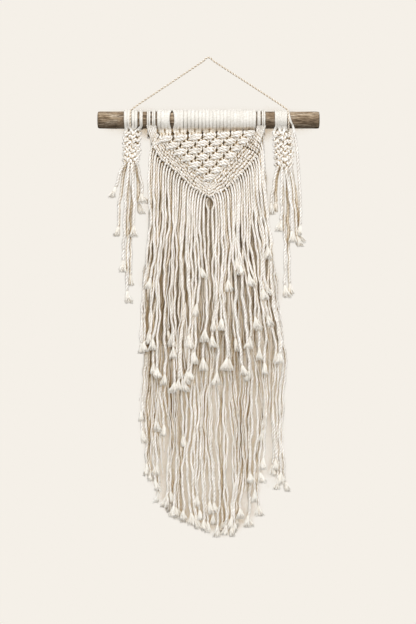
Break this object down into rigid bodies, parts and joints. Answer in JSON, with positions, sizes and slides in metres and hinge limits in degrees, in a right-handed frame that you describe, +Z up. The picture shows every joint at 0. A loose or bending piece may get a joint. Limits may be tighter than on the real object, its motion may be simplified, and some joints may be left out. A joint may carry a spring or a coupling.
{
  "type": "macrame wall hanging with wooden rod",
  "caption": "Macrame wall hanging on a wooden rod: square-knot net, V of hitched bars, layered rope fringe and two side tassels.",
  "frame": {"origin": "the point of the hanging cord that lies on the nail", "axes": "+Z up, +X to the viewer's right, +Y towards the wall"},
  "size_m": [0.4, 0.0392, 0.8655],
  "materials": {
    "cotton_rope": "matte",
    "twisted_cord": "matte",
    "driftwood": "matte"
  },
  "bodies": {
    "root": {"rod": "driftwood", "hanger_cord": "twisted_cord", "knotted_panel": "cotton_rope", "front_fringe": "cotton_rope", "back_fringe": "cotton_rope", "left_tassel": "cotton_rope", "right_tassel": "cotton_rope"}
  },
  "joints": []
}
